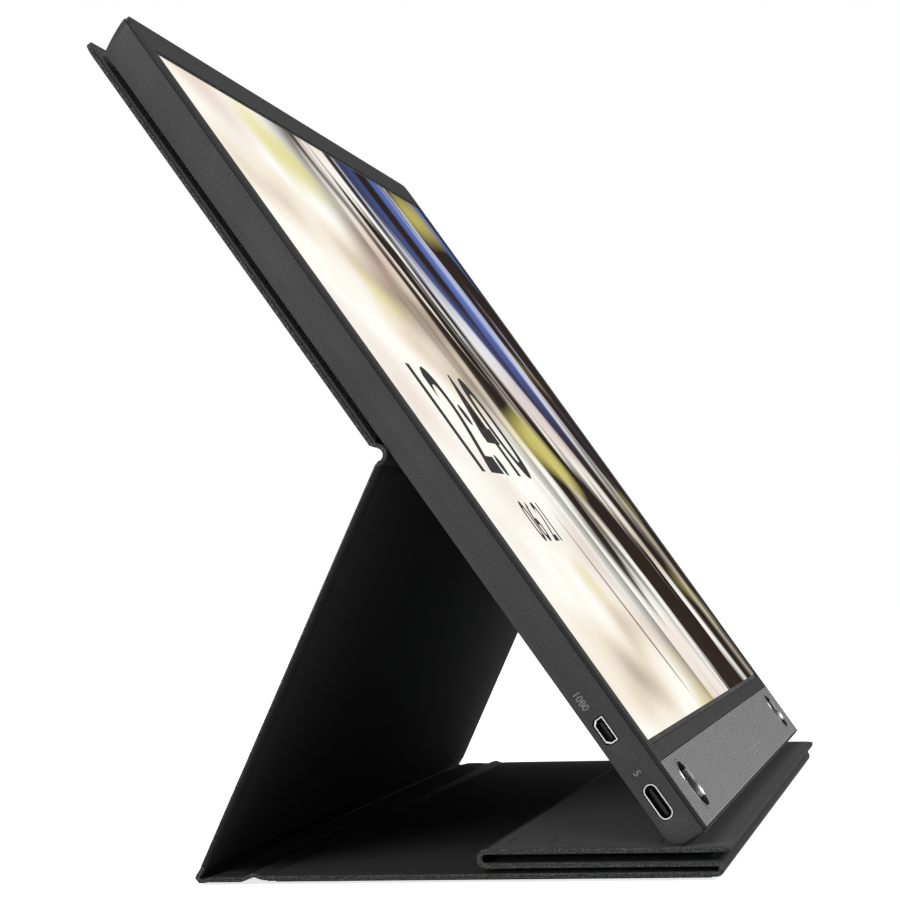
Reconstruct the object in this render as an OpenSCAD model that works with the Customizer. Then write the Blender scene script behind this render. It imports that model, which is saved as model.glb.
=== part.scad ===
// Portable monitor standing on its fold-out cover.
// X runs along the screen's width, -Y is the side that the screen faces, Z is up from the table.
// The cover's last panel lies folded in three under the monitor's lower edge.

/* [Monitor] */
// Width of the monitor
mon_w = 359.7; // [300:0.1:420]
// Height of the monitor, measured along the screen
mon_h = 228.3; // [210:0.1:260]
// Thickness of the monitor, from its back to its front frame
mon_t = 9; // [8.6:0.1:12]
// Lean of the monitor above the table, in degrees
mon_tilt = 55.7; // [50:0.1:62]
// Radius of the monitor's corners, seen from the front
corner_r = 4.5; // [3:0.5:10]
// Radius of the monitor's lower corners, seen from the front
low_corner_r = 1; // [0.6:0.1:3]
// Radius of the back case's lower edge, where the monitor stands
foot_r = 4.5; // [3:0.1:5]
// How much lower the back of the upper edge is than its front
top_rake = 4.8; // [0:0.1:6]
// Wall of the back case
case_wall = 1.3; // [1:0.1:1.8]
// Floor of the back case
case_floor = 1; // [0.8:0.1:1.4]
// Thickness of the front frame
frame_t = 1; // [0.8:0.1:1.2]
// Step of the front frame behind the side of the case
frame_step = 0.35; // [0.1:0.05:0.8]

/* [Screen] */
// Width of the frame from the monitor's side to the picture
side_bezel = 7.75; // [7.3:0.05:20]
// Height of the picture
picture_h = 193.6; // [160:0.1:194]
// Height of the picture's lower edge above the monitor's lower edge
picture_v = 23.9; // [22:0.1:26]
// Black border between the picture and the frame
black_border = 1.4; // [0.6:0.1:2]
// Depth of the screen glass behind the frame's front
glass_step = 0.3; // [0.2:0.1:0.8]
// Thickness of the screen glass
glass_t = 1.1; // [0.7:0.1:1.4]
// Thickness of the diffuser films
films_t = 0.5; // [0.3:0.1:0.8]
// Thickness of the light guide
guide_t = 0.6; // [0.4:0.1:0.8]
// Thickness of the reflector
reflector_t = 0.2; // [0.1:0.05:0.3]
// Thickness of the metal pan behind the screen
pan_t = 0.3; // [0.2:0.1:0.5]

/* [Chin] */
// Height of the ribbed strip's lower edge
strip_low = 0.9; // [0.6:0.1:2]
// Height of the ribbed strip's upper edge
strip_high = 18.3; // [17:0.1:20]
// Distance between the ribs
rib_pitch = 0.5; // [0.4:0.05:1]
// Depth of the grooves between the ribs
rib_depth = 0.12; // [0.05:0.01:0.2]
// Length of a speaker hole, along the strip
speaker_hole_l = 16; // [13:0.5:20]
// Height of a speaker hole
speaker_hole_h = 12; // [10:0.5:13]
// Distance from the monitor's side to the middle of the speaker hole
speaker_inset = 27; // [22:0.5:40]
// Width of the bright ring in a speaker hole
ring_w = 0.7; // [0.4:0.1:1.2]

/* [Sockets and buttons] */
// Height of the middle of the USB socket above the monitor's lower edge
usb_v = 11.4; // [10:0.1:14]
// Depth of the middle of the USB socket, from the back
usb_w = 3.5; // [3.2:0.1:4]
// Height of the middle of the small video socket
video_v = 30.9; // [24:0.1:36]
// Depth of the middle of the small video socket, from the back
video_w = 3; // [2.8:0.1:3.5]
// Height of the middle of the earphone socket, on the other side
jack_v = 73; // [70:0.5:95]
// Radius of the earphone socket
jack_r = 1.8; // [1.75:0.05:1.9]
// Length of the earphone socket
jack_l = 12; // [10:0.5:14]
// Height of the first button
button_v = 18; // [16:0.5:22]
// Distance between the buttons
button_pitch = 15; // [14:0.5:17]
// Length of a button
button_l = 9; // [7:0.5:10]
// Width of a button
button_w = 2.4; // [2:0.1:2.8]
// How far a button stands out of the side
button_out = 0.6; // [0.5:0.05:1]
// Gap round a button
button_gap = 0.25; // [0.15:0.05:0.4]
// How far a button travels
button_travel = 0.4; // [0.3:0.05:0.5]

/* [Inside] */
// Distance from a battery cell to the monitor's side
cell_side = 28.3; // [25:0.1:60]
// Gap between the battery cells
cell_gap = 3; // [2:0.5:8]
// Height of one battery cell
cell_h = 96; // [70:1:100]
// Thickness of one battery cell
cell_t = 3.2; // [2.5:0.1:3.3]
// Height of the battery's lower edge
cell_v = 74; // [72:1:90]
// Thickness of the circuit boards
board_t = 0.8; // [0.6:0.1:1]

/* [Cover] */
// How far the cover stands past each side of the monitor
cover_over = 1.8; // [1:0.1:4]
// Thickness of a cover panel
panel_t = 2; // [1.8:0.1:2.4]
// Thickness of the outer skin, and of the lining
skin_t = 0.6; // [0.4:0.05:0.7]
// Thickness of the stiff board inside a panel
stiff_t = 0.8; // [0.6:0.05:1]
// Width of the pressed edge round a panel
edge_w = 5; // [3:0.5:7]
// Width of the pressed edge beside a crease
crease_edge = 2; // [1.5:0.5:4]
// Radius of the cover's free corners
cover_corner_r = 5; // [2:0.5:9]
// Gap between the monitor's back and the cover
back_gap = 0.8; // [0.5:0.1:1.5]
// Gap between two panels that lie folded on each other
fold_gap = 0.7; // [0.4:0.1:1.2]
// Height of the middle crease above the monitor's lower edge
back_crease_v = 110.5; // [100:0.5:120]
// How far the cover stands above the monitor's upper edge; below it when negative
cover_top_over = -0.1; // [-1:0.1:3]
// Length of the strut, from crease to crease
strut_l = 105.5; // [100:0.1:112]
// Length of the spine, from crease to crease
spine_l = 13.2; // [11.5:0.1:16]
// Length of the base panel, from crease to crease
base_l = 104.3; // [98:0.1:110]
// Length of the middle panel, from crease to crease
middle_l = 51.3; // [46:0.1:56]
// Length of the upper panel of the folded stack, from its crease to its free edge
top_l = 54.4; // [50:0.1:60]
// Distance from a crease to the panels beside it
crease_back = 3; // [2.5:0.1:4]

/* [Hidden] */
$fn = 64;

case_color = "#46474a";
frame_color = "#48494b";
strip_color = "#85868a";
bright_color = "#c9cbce";
black_color = "#101113";
picture_color = "#efe6d2";
skin_color = "#2b2c2e";
lining_color = "#232426";
stiff_color = "#8d7f6b";
metal_color = "#b4b7bb";
board_color = "#1d4f36";
cell_color = "#303c48";
eps = 0.01;
snug = 0.15;
case_depth = mon_t - frame_t;
picture_w = mon_w - 2 * side_bezel;
window_w = picture_w + 2 * black_border;
window_h = picture_h + 2 * black_border;
picture_mid_v = picture_v + picture_h / 2;
cover_w = mon_w + 2 * cover_over;
pressed_t = 2 * skin_t;
press_in = (panel_t - pressed_t) / 2;
half_t = panel_t / 2;

// Heights of the folded stack: each panel lies on the one below, a gap apart.
middle_z = panel_t + fold_gap;
top_z = middle_z + panel_t + fold_gap;
rest_z = top_z + panel_t;
front_axis_z = panel_t + fold_gap / 2;
rear_axis_z = middle_z + panel_t + fold_gap / 2;

// Places of the creases along the table, measured from the front crease.
rear_axis_y = middle_l;
spine_axis_y = base_l;
strut_axis_y = base_l + spine_l;
spine_axis_z = half_t;
strut_axis_z = half_t;

// The middle crease lies close to the monitor's back, and the lean sets its height.
back_axis_in = 1.7;
contact_gap = 0.02;
back_axis_w = -(back_gap + panel_t - back_axis_in);
back_axis_z = rest_z + contact_gap + foot_r
    + (back_crease_v - foot_r) * sin(mon_tilt) + (back_axis_w - foot_r) * cos(mon_tilt);
strut_in = 1;
axis_rise = strut_in - half_t;
crease_gap = 0.1;
strut_reach = sqrt(strut_l * strut_l + axis_rise * axis_rise);
strut_angle = 180 - asin((back_axis_z - strut_axis_z) / strut_reach) - atan2(axis_rise, strut_l);
back_axis_y = strut_axis_y + strut_l * cos(strut_angle) - axis_rise * sin(strut_angle);
mon_y = back_axis_y - back_crease_v * cos(mon_tilt) + back_axis_w * sin(mon_tilt);
mon_z = back_axis_z - back_crease_v * sin(mon_tilt) - back_axis_w * cos(mon_tilt);
upper_l = mon_h + cover_top_over - back_crease_v;

// The footprint is centred on the origin, from the free edge in front to the cover's top at the back.
front_y = rear_axis_y - top_l;
rear_y = back_axis_y + upper_l * cos(mon_tilt) + back_axis_in * sin(mon_tilt);
mid_y = (front_y + rear_y) / 2;

// Layers behind the screen, from the glass down to the pan.
glass_z = mon_t - glass_step - glass_t;
films_z = glass_z - films_t;
guide_z = films_z - guide_t;
reflector_z = guide_z - reflector_t;
pan_z = reflector_z - pan_t;
speaker_x = mon_w / 2 - speaker_inset;
speaker_v = (strip_low + strip_high) / 2 + 0.4;
mesh_t = 0.3;
mesh_z = mon_t - 1.5;
picture_t = 0.08;

// The sockets
video_l = 6.4;
video_h = 2.8;
video_chamfer = 0.9;
video_depth = 6.5;
video_gap = snug + 0.1;
usb_l = 8.94;
usb_h = 3.26;
usb_hole_l = 9.3;
usb_hole_h = 3.6;
socket_wall = 0.3;
usb_depth = 7.4;
tongue_foot = 2;
tongue_gap = 0.02;
tongue_back = 1.4;
usb_tongue_l = 6.7;
usb_tongue_h = 0.7;
video_tongue_l = 4.2;
video_tongue_h = 0.6;
video_tongue_rise = 0.25;
socket_in = 0.2;
jack_collar_r = 2.6;
jack_body_w = 6;
jack_body_h = 4.2;
// Buttons in the right side, with a flange behind the wall
button_vs = [button_v, button_v + button_pitch, button_v + 2 * button_pitch];
button_z = 3.6;
flange_t = 0.5;
flange_lip = 0.8;
// Four screws that hold the back pan
screw_inset = 12;
screw_low_v = 52;
screw_xs = [-mon_w / 2 + screw_inset, mon_w / 2 - screw_inset];
screw_vs = [screw_low_v, mon_h - screw_inset];
boss_r = 2.4;
boss_gap = 0.5;
screw_r = 0.8;
screw_rise = 0.4;
thread_gap = 0.03;
screw_head_r = 1.7;
screw_head_t = 0.5;
boss_top = pan_z - 0.6;
skirt_h = 1;
skirt_t = 0.8;
skirt_in = case_wall + snug;
skirt_top = mon_h - skirt_in - top_rake * (mon_t - case_depth + skirt_h) / mon_t;
// The ribbed strip
strip_w = mon_w - 3.2;
strip_t = frame_t;
strip_out = 0.1;
// The speakers
mesh_pitch = 2.6;
mesh_hole_r = 0.6;
speaker_l = 34;
speaker_h = 13;
speaker_t = 3.2;
speaker_cone_r = 4.6;
cone_depth = 0.8;
// Inside the case
cell_grow = black_border - snug;
layer_grow = cell_grow - 0.3;
led_in = 2;
led_rise = 0.3;
cell_w = (mon_w - cell_gap) / 2 - cell_side;
led_w = 1.2;
guide_cut = led_rise + led_w + 0.1;
main_board_w = 118;
main_board_h = 56;
main_board_x = -mon_w / 2 + socket_in + usb_depth + snug;
main_board_v = 5.5;
main_board_z = case_floor + 0.2;
chip_t = 1.2;
// Place and size of each chip on the main board
chips = [
    [40, 10, 14, 14],
    [64, 10, 9, 9],
    [82, 12, 12, 6],
    [44, 32, 8, 6],
    [66, 30, 10, 8],
    [92, 28, 14, 10]
];
panel_board_w = 150;
panel_board_h = 12;
panel_board_v = 24;
panel_board_z = pan_z - board_t - 0.3;
ribbon_w = 14;
ribbon_t = 0.2;
panel_ribbon_reach = 8;
ribbon_in = 20;
ribbon_v = 4;
ribbon_low_l = 8;
ribbon_high_l = 3;
switch_gap = 0.1;
stem_l = 1.2;
switch_depth = 2;
switch_l = 4;
switch_w = 3;
button_board_below = 8;
button_board_above = 16;
button_board_v = button_v - button_board_below;
button_board_l = 2 * button_pitch + button_board_below + button_board_above;
button_board_w = 5.2;
stem_r = 0.9;
stem_end = case_wall + snug + flange_t + stem_l;
button_board_x = mon_w / 2 - stem_end - button_travel - switch_gap - switch_depth;
lens_r = 0.8;
lens_above = 8.5;
lens_v = button_v + 2 * button_pitch + lens_above;
lens_l = mon_w / 2 - button_board_x - snug / 3;
magnet_r = 6;
magnet_t = 1.2;
magnet_gap = 0.1;
magnet_xs = [-140, -50, 50, 140];
magnet_below = 30;
magnet_v = mon_h - magnet_below;
// The panels of the cover, each set back from its creases
fold_back = 0.3;
upper_len = upper_l - crease_back;
strut_len = strut_l - 2 * crease_back;
spine_len = spine_l - 2 * crease_back;
base_len = base_l - crease_back - fold_back;
middle_len = middle_l - 2 * fold_back;
top_len = top_l - fold_back;
spine_edge = 1.5;
field_wall = 1;
cover_magnet_y = magnet_v - back_crease_v - crease_back;

// A flat outline with round corners, centred across and starting at v = 0.
module sheet(w, h, r) {
    translate([-w / 2 + r, 0]) square([w - 2 * r, h]);
    translate([-w / 2, r]) square([w, h - 2 * r]);
    for (x = [-w / 2 + r, w / 2 - r], y = [r, h - r]) translate([x, y]) circle(r);
}

// The monitor's outline, with small corners below and round corners above.
module monitor_outline(inset) {
    w = mon_w - 2 * inset;
    h = mon_h - 2 * inset;
    low_r = max(low_corner_r - inset, 0.3);
    high_r = corner_r - inset;
    translate([-w / 2 + low_r, 0]) square([w - 2 * low_r, h / 2]);
    translate([-w / 2 + high_r, low_r]) square([w - 2 * high_r, h - low_r]);
    translate([-w / 2, low_r]) square([w, h - low_r - high_r]);
    for (x = [-1, 1]) {
        translate([x * (w / 2 - low_r), low_r]) circle(low_r);
        translate([x * (w / 2 - high_r), h - high_r]) circle(high_r);
    }
}

// A slot with round ends, its length along the first axis.
module slot(l, h) {
    square([l - h, h], center = true);
    for (x = [-1, 1]) translate([x * (l - h) / 2, 0]) circle(d = h);
}

// A cover panel's outline: its corners are round only at the free end, at the outline's far edge.
module panel_outline(w, l, r) {
    translate([-w / 2, 0]) square([w, l - r]);
    if (r > 0) {
        translate([-w / 2 + r, 0]) square([w - 2 * r, l]);
        for (x = [-1, 1]) translate([x * (w / 2 - r), l - r]) circle(r);
    }
}

// The same outline, drawn in from the sides, the crease and the far end.
module raised_outline(w, l, r, side, near, far) {
    translate([0, near]) panel_outline(w - 2 * side, l - near - far, max(r - side, 0));
}

module on_monitor() {
    translate([0, mon_y - mid_y, mon_z]) rotate([mon_tilt, 0, 0]) children();
}

// Puts a plate drawn flat, across and along the thickness, on the monitor's side wall.
module on_side(side, v, w) {
    translate([side * mon_w / 2, v, w]) rotate([90, 0, side * 90]) children();
}

// The back case

module side_profile(inset, top) {
    low_r = foot_r - inset;
    bottom = inset == 0 ? 0 : case_floor;
    high = mon_h - inset;
    translate([inset + low_r, bottom + low_r]) circle(low_r);
    polygon([
        [inset + low_r, bottom],
        [high - top_rake * (mon_t - bottom) / mon_t, bottom],
        [high - top_rake * (mon_t - top) / mon_t, top],
        [inset, top],
        [inset, bottom + low_r],
        [inset + low_r, bottom + low_r]
    ]);
}

module case_block(inset, top) {
    intersection() {
        translate([0, inset, 0]) linear_extrude(top) monitor_outline(inset);
        translate([-mon_w / 2, 0, 0]) rotate([90, 0, 90]) linear_extrude(mon_w) side_profile(inset, top);
    }
}

module side_hole(side, v, w) {
    on_side(side, v, w) translate([0, 0, -case_wall - 1]) linear_extrude(case_wall + 2) children();
}

module rear_case() {
    color(case_color) difference() {
        union() {
            difference() {
                case_block(0, case_depth);
                case_block(case_wall, case_depth + 1);
            }
            for (x = screw_xs, v = screw_vs) translate([x, v, case_floor - eps])
                cylinder(r = boss_r, h = boss_top - case_floor);
        }
        for (x = screw_xs, v = screw_vs) translate([x, v, case_floor + screw_rise])
            cylinder(r = screw_r, h = boss_top);
        side_hole(-1, usb_v, usb_w) slot(usb_hole_l, usb_hole_h);
        side_hole(-1, video_v, video_w) video_outline(video_gap);
        for (v = button_vs) side_hole(1, v, button_z)
            slot(button_l + 2 * button_gap, button_w + 2 * button_gap);
        side_hole(1, jack_v, button_z) circle(jack_collar_r + snug);
        side_hole(1, lens_v, button_z) circle(lens_r + snug / 3);
    }
}

// The frame in front of the screen, with the band between the screen and the ribbed strip

module front_frame() {
    color(frame_color) difference() {
        union() {
            translate([0, frame_step, case_depth]) linear_extrude(frame_t) monitor_outline(frame_step);
            translate([0, skirt_in, case_depth - skirt_h]) linear_extrude(skirt_h + eps)
                monitor_outline(skirt_in);
        }
        translate([0, skirt_in + skirt_t, 0]) linear_extrude(case_depth)
            monitor_outline(skirt_in + skirt_t);
        translate([-mon_w / 2, skirt_top, 0]) cube([mon_w, mon_h, case_depth]);
        translate([-window_w / 2, picture_v - black_border, 0]) cube([window_w, window_h, mon_t + 1]);
        translate([-strip_w / 2 - snug, strip_low - snug, 0])
            cube([strip_w + 2 * snug, strip_high - strip_low + 2 * snug, mon_t + 1]);
    }
}

// The ribbed strip below the screen

module strip_profile() {
    ribs = floor((strip_high - strip_low) / rib_pitch);
    start = strip_low + (strip_high - strip_low - ribs * rib_pitch) / 2;
    front = mon_t + strip_out;
    polygon(concat(
        [
            [strip_high, front],
            [strip_high, front - strip_t],
            [strip_low, front - strip_t],
            [strip_low, front]
        ],
        [for (i = [0:ribs - 1]) each [
            [start + i * rib_pitch + rib_pitch * 0.1, front],
            [start + i * rib_pitch + rib_pitch * 0.5, front - rib_depth],
            [start + i * rib_pitch + rib_pitch * 0.9, front]
        ]]
    ));
}

module speaker_holes(grow, low, high) {
    for (side = [-1, 1]) translate([side * speaker_x, speaker_v, low])
        linear_extrude(high - low) slot(speaker_hole_l + 2 * grow, speaker_hole_h + 2 * grow);
}

module chin_strip() {
    color(strip_color) difference() {
        translate([-strip_w / 2, 0, 0]) rotate([90, 0, 90]) linear_extrude(strip_w) strip_profile();
        speaker_holes(ring_w + snug / 3, 0, mon_t + 2);
    }
}

module speaker_rings() {
    color(bright_color) difference() {
        speaker_holes(ring_w, mesh_z + mesh_t, mon_t + strip_out + 0.1);
        speaker_holes(0, 0, mon_t + 2);
    }
}

module speaker_meshes() {
    color(black_color) difference() {
        speaker_holes(ring_w, mesh_z, mesh_z + mesh_t);
        for (side = [-1, 1], i = [-2:2], j = [-1:1])
            translate([side * speaker_x + i * mesh_pitch, speaker_v + j * mesh_pitch, 0])
                cylinder(r = mesh_hole_r, h = mon_t, $fn = 24);
    }
}

module speaker(side) {
    color(black_color) translate([side * speaker_x, speaker_v, mesh_z - speaker_t]) difference() {
        linear_extrude(speaker_t) sheet_centred(speaker_l, speaker_h, 2);
        translate([0, 0, speaker_t - cone_depth])
            cylinder(r1 = speaker_cone_r - 1.5, r2 = speaker_cone_r, h = cone_depth + eps);
    }
}

module sheet_centred(w, h, r) {
    translate([0, -h / 2]) sheet(w, h, r);
}

// The screen and what lights it

module layer(grow, z, t) {
    translate([-picture_w / 2 - grow, picture_v - grow, z])
        cube([picture_w + 2 * grow, picture_h + 2 * grow, t]);
}

module lcd_glass() { color(black_color) layer(cell_grow, glass_z, glass_t); }
module lcd_picture() { color(picture_color) layer(0, glass_z + glass_t, picture_t); }
module diffuser_films() { color("#e8e8e2") layer(layer_grow, films_z, films_t); }
module light_guide() {
    color("#cfe3e6") difference() {
        layer(layer_grow, guide_z, guide_t);
        translate([-picture_w, picture_v - cell_grow - 1, guide_z - 1])
            cube([2 * picture_w, guide_cut + 1, guide_t + 2]);
    }
}
module led_bar() {
    color("#f2e9b8") translate([-picture_w / 2 + led_in, picture_v - cell_grow + led_rise, guide_z])
        cube([picture_w - 2 * led_in, led_w - snug, guide_t]);
}
module reflector_sheet() { color("#f4f4f4") layer(layer_grow, reflector_z, reflector_t); }
module lcd_back_pan() { color(metal_color) layer(cell_grow, pan_z, pan_t); }

// Boards, cells and the ribbon between the boards

module main_board() {
    color(board_color) difference() {
        translate([main_board_x, main_board_v, main_board_z]) cube([main_board_w, main_board_h, board_t]);
        for (v = screw_vs) translate([screw_xs[0], v, 0]) cylinder(r = boss_r + boss_gap, h = mon_t);
    }
}

module board_chips() {
    color("#25272a") for (c = chips)
        translate([main_board_x + c[0], main_board_v + c[1], main_board_z + board_t])
            cube([c[2], c[3], chip_t]);
}

module panel_board() {
    color(board_color) translate([0, panel_board_v, panel_board_z])
        cube([panel_board_w, panel_board_h, board_t]);
}

module display_ribbon() {
    ribbon_x0 = main_board_x + main_board_w - ribbon_in;
    bend_v = main_board_v + ribbon_v + ribbon_low_l;
    low = main_board_z + board_t;
    high = panel_board_z + board_t;
    color("#d8cfae") {
        translate([ribbon_x0, bend_v - ribbon_low_l, low]) cube([ribbon_w, ribbon_low_l, ribbon_t]);
        translate([ribbon_x0, bend_v - eps, low]) cube([ribbon_w, ribbon_t, high + ribbon_t - low]);
        translate([ribbon_x0, bend_v - eps, high])
            cube([panel_ribbon_reach - ribbon_x0, ribbon_high_l, ribbon_t]);
    }
}

module battery(side) {
    color(cell_color) translate([side > 0 ? cell_gap / 2 : -cell_gap / 2 - cell_w, cell_v, case_floor])
        cube([cell_w, cell_h, cell_t]);
}

// Sockets

module usb_shell() {
    color(metal_color) on_side(-1, usb_v, usb_w) translate([0, 0, -usb_depth - socket_in]) difference() {
        linear_extrude(usb_depth) slot(usb_l, usb_h);
        translate([0, 0, socket_wall]) linear_extrude(usb_depth)
            slot(usb_l - 2 * socket_wall, usb_h - 2 * socket_wall);
    }
}

module usb_tongue() {
    color(black_color) on_side(-1, usb_v, usb_w) translate([0, 0, -usb_depth - socket_in + socket_wall]) {
        linear_extrude(tongue_foot)
            slot(usb_l - 2 * socket_wall - 2 * tongue_gap, usb_h - 2 * socket_wall - 2 * tongue_gap);
        linear_extrude(usb_depth - tongue_back) square([usb_tongue_l, usb_tongue_h], center = true);
    }
}

module video_outline(grow) {
    l = video_l / 2 + grow;
    h = video_h / 2 + grow;
    c = video_chamfer;
    polygon([[-l, h], [l, h], [l, -h + c], [l - c, -h], [-l + c, -h], [-l, -h + c]]);
}

module video_shell() {
    color(metal_color) on_side(-1, video_v, video_w)
            translate([0, 0, -video_depth - socket_in]) difference() {
        linear_extrude(video_depth) video_outline(0);
        translate([0, 0, socket_wall]) linear_extrude(video_depth) video_outline(-socket_wall);
    }
}

module video_tongue() {
    color(black_color) on_side(-1, video_v, video_w)
            translate([0, 0, -video_depth - socket_in + socket_wall]) {
        linear_extrude(tongue_foot) video_outline(-socket_wall - tongue_gap);
        translate([0, video_tongue_rise, 0]) linear_extrude(video_depth - tongue_back)
            square([video_tongue_l, video_tongue_h], center = true);
    }
}

module audio_jack() {
    color(black_color) on_side(1, jack_v, button_z) difference() {
        union() {
            translate([0, 0, -case_wall]) cylinder(r = jack_collar_r, h = case_wall - 0.1);
            translate([-jack_body_w / 2, -jack_body_h / 2, -jack_l - 1])
                cube([jack_body_w, jack_body_h, jack_l + 1 - case_wall]);
        }
        translate([0, 0, -jack_l - 0.1]) cylinder(r = jack_r, h = jack_l + 1);
    }
}

// Buttons, their board with three small switches, and the lamp beside them

module button(i) {
    color("#38393b") on_side(1, button_vs[i], button_z) {
        translate([0, 0, -case_wall - snug]) linear_extrude(case_wall + snug + button_out)
            slot(button_l, button_w);
        translate([0, 0, -case_wall - snug - flange_t]) linear_extrude(flange_t)
            slot(button_l + 2 * flange_lip, button_w + 2 * flange_lip);
        translate([0, 0, -stem_end]) cylinder(r = stem_r, h = stem_l);
    }
}

module button_board() {
    color(board_color) translate([button_board_x - board_t, button_board_v, case_floor + snug])
        cube([board_t, button_board_l, button_board_w]);
    color(metal_color) for (v = button_vs)
        translate([button_board_x - eps, v - switch_l / 2, button_z - switch_w / 2])
            cube([switch_depth, switch_l, switch_w]);
}

module status_lens() {
    color("#eef2f4") on_side(1, lens_v, button_z) translate([0, 0, -lens_l])
        cylinder(r = lens_r, h = lens_l, $fn = 32);
}

module case_magnets() {
    color(metal_color) for (x = magnet_xs) translate([x, magnet_v, case_floor])
        cylinder(r = magnet_r, h = magnet_t);
}

module case_screws() {
    color(metal_color) for (x = screw_xs, v = screw_vs) translate([x, v, 0]) {
        translate([0, 0, case_floor + 2 * screw_rise])
            cylinder(r = screw_r - thread_gap, h = boss_top - case_floor - 2 * screw_rise);
        translate([0, 0, boss_top]) cylinder(r = screw_head_r, h = screw_head_t);
    }
}

// One cover panel, lying flat with its outer skin down: near end at y = 0, far end at y = l.
// The board lies in a pocket between skin and lining, which are pressed together round it.

module panel_skin(l, r, near, far) {
    color(skin_color) difference() {
        union() {
            translate([0, 0, press_in]) linear_extrude(half_t - press_in) panel_outline(cover_w, l, r);
            linear_extrude(half_t)
                raised_outline(cover_w, l, r, edge_w - field_wall, near - field_wall, far - field_wall);
        }
        translate([0, 0, skin_t]) linear_extrude(panel_t) raised_outline(cover_w, l, r, edge_w, near, far);
    }
}

module panel_stiffener(l, r, near, far) {
    color(stiff_color) translate([0, 0, skin_t]) linear_extrude(stiff_t)
        raised_outline(cover_w, l, r, edge_w + snug, near + snug, far + snug);
}

module panel_lining(l, r, near, far) {
    color(lining_color) translate([0, 0, panel_t]) mirror([0, 0, 1]) difference() {
        union() {
            translate([0, 0, press_in]) linear_extrude(half_t - press_in) panel_outline(cover_w, l, r);
            linear_extrude(half_t)
                raised_outline(cover_w, l, r, edge_w - field_wall, near - field_wall, far - field_wall);
        }
        translate([0, 0, skin_t]) linear_extrude(panel_t) raised_outline(cover_w, l, r, edge_w, near, far);
    }
}

// Where each panel lies

module on_upper() {
    translate([0, back_axis_y - mid_y, back_axis_z]) rotate([mon_tilt, 0, 0])
        translate([0, crease_back, -back_axis_in]) children();
}
module on_strut() {
    translate([0, strut_axis_y - mid_y, strut_axis_z]) rotate([strut_angle, 0, 0])
        translate([0, crease_back, -half_t]) children();
}
module on_spine() { translate([0, spine_axis_y + crease_back - mid_y, 0]) children(); }
module on_base() { translate([0, fold_back - mid_y, 0]) children(); }
module on_middle() { translate([0, fold_back - mid_y, middle_z + panel_t]) rotate([0, 180, 0]) children(); }
module on_top() { translate([0, rear_axis_y - fold_back - mid_y, top_z]) mirror([0, 1, 0]) children(); }

module upper_board() {
    difference() {
        on_upper() panel_stiffener(upper_len, cover_corner_r, crease_edge, edge_w);
        on_upper() for (x = magnet_xs) translate([x, cover_magnet_y, 0])
            cylinder(r = magnet_r + magnet_gap, h = panel_t);
    }
}

module cover_magnets() {
    color(metal_color) on_upper() for (x = magnet_xs)
        translate([x, cover_magnet_y, skin_t]) cylinder(r = magnet_r, h = stiff_t);
}

// Creases: skin and lining pressed together and bent, as thick as the pressed edge of a panel

module along_width() {
    translate([-cover_w / 2, -mid_y, 0]) rotate([90, 0, 90]) linear_extrude(cover_w) children();
}

function turn(p, a) = [p[0] * cos(a) - p[1] * sin(a), p[0] * sin(a) + p[1] * cos(a)];

// A bent strip from the edge of one panel, past the crease's axis, to the edge of the next.
// The bend's hollow side is the linings' side when hollow is 1, and the skins' side when it is -1.
module bent_crease(axis_y, axis_z, angle_a, in_a, angle_b, in_b, hollow) {
    half = pressed_t / 2;
    reach = crease_back - crease_gap;
    mid_a = press_in - in_a + half;
    mid_b = press_in - in_b + half;
    color(skin_color) along_width() translate([axis_y, axis_z]) polygon([
        turn([reach, mid_a - hollow * half], angle_a),
        turn([reach, mid_a + hollow * half], angle_a),
        turn([0, hollow * half / cos((angle_a - angle_b) / 2)], (angle_a + angle_b) / 2),
        turn([-reach, mid_b + hollow * half], angle_b),
        turn([-reach, mid_b - hollow * half], angle_b),
        turn([0, -hollow * half], angle_b),
        turn([0, -hollow * half], angle_a)
    ]);
}

module back_crease() {
    bent_crease(back_axis_y, back_axis_z, mon_tilt, back_axis_in, strut_angle, strut_in, -1);
}
module strut_crease() { bent_crease(strut_axis_y, strut_axis_z, strut_angle, half_t, 0, half_t, 1); }
module spine_crease() {
    color(skin_color) along_width() translate([spine_axis_y - crease_back, press_in])
        square([2 * crease_back, pressed_t]);
}

// Half a ring between two folded panels, with short straight ends that meet the panels' edges.
module fold_ring(axis_y, axis_z, side) {
    inner = front_axis_z - half_t - pressed_t / 2;
    outer = inner + pressed_t;
    end_y = side > 0 ? -fold_back : 0;
    beyond_y = side > 0 ? -2 * outer - fold_back : fold_back;
    color(skin_color) along_width() translate([axis_y, axis_z]) difference() {
        union() {
            circle(outer);
            translate([end_y, -outer]) square([fold_back, 2 * outer]);
        }
        circle(inner);
        translate([3 * end_y, -inner]) square([3 * fold_back, 2 * inner]);
        translate([beyond_y, -2 * outer]) square([2 * outer, 4 * outer]);
    }
}

module front_crease() { fold_ring(0, front_axis_z, -1); }
module rear_crease() { fold_ring(rear_axis_y, rear_axis_z, 1); }

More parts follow.
